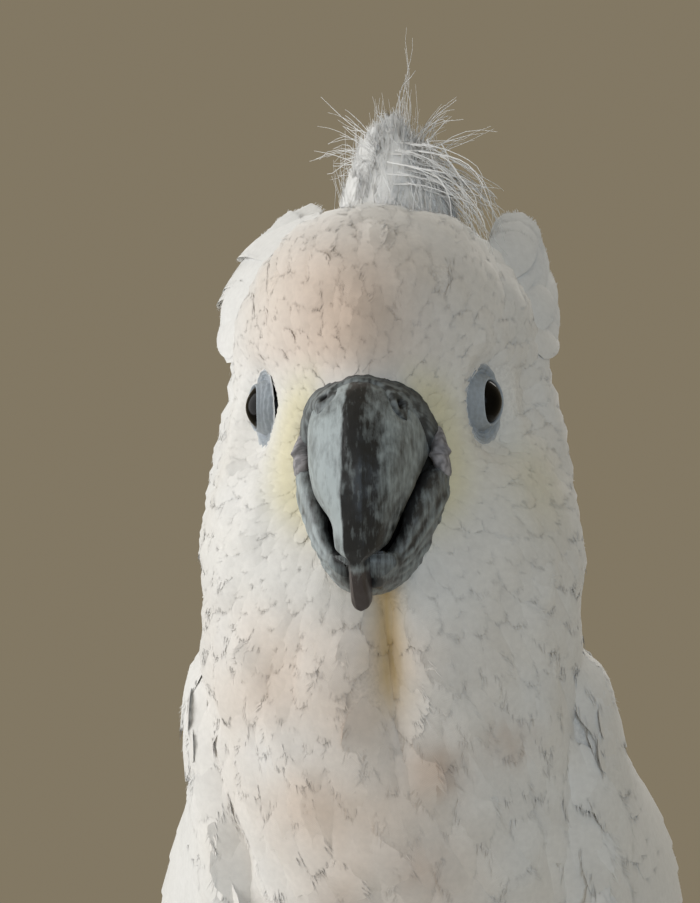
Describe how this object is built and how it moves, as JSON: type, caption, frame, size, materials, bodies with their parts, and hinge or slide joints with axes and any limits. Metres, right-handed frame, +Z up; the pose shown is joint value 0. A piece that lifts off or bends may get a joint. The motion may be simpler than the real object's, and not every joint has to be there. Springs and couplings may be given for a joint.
{
  "type": "white cockatoo",
  "caption": "Life-size standing cockatoo with white plumage, dark hooked bill, backswept crest and a loose tuft on the crown; folded wings and a tail that touches the floor.",
  "frame": {"origin": "middle of the base of the bounding box, at floor level", "axes": "+Z is up; the bird faces -Y, with its head turned a little to its right; its left side is towards +X"},
  "size_m": [0.1128, 0.2964, 0.3188],
  "materials": {
    "plumage": "soft white feathers with a faint cream and pink tint",
    "bill": "dark grey horn under a pale powder",
    "cere": "dark grey bare skin",
    "eye": "wet black",
    "foot": "dark grey scales",
    "claw": "dark horn, slightly glossy"
  },
  "bodies": {
    "root": {"cere": "cere", "claw_inner_back_left": "claw", "claw_inner_back_right": "claw", "claw_inner_front_left": "claw", "claw_inner_front_right": "claw", "claw_outer_back_left": "claw", "claw_outer_back_right": "claw", "claw_outer_front_left": "claw", "claw_outer_front_right": "claw", "crest": "plumage", "crown_tuft": "plumage", "eye_left": "eye", "eye_right": "eye", "head": "plumage", "lower_bill": "bill", "neck": "plumage", "shank_left": "foot", "shank_right": "foot", "tail": "plumage", "thigh_left": "plumage", "thigh_right": "plumage", "toe_inner_back_left": "foot", "toe_inner_back_right": "foot", "toe_inner_front_left": "foot", "toe_inner_front_right": "foot", "toe_outer_back_left": "foot", "toe_outer_back_right": "foot", "toe_outer_front_left": "foot", "toe_outer_front_right": "foot", "trunk": "plumage", "upper_bill": "bill", "wing_left": "plumage", "wing_right": "plumage"}
  },
  "joints": []
}
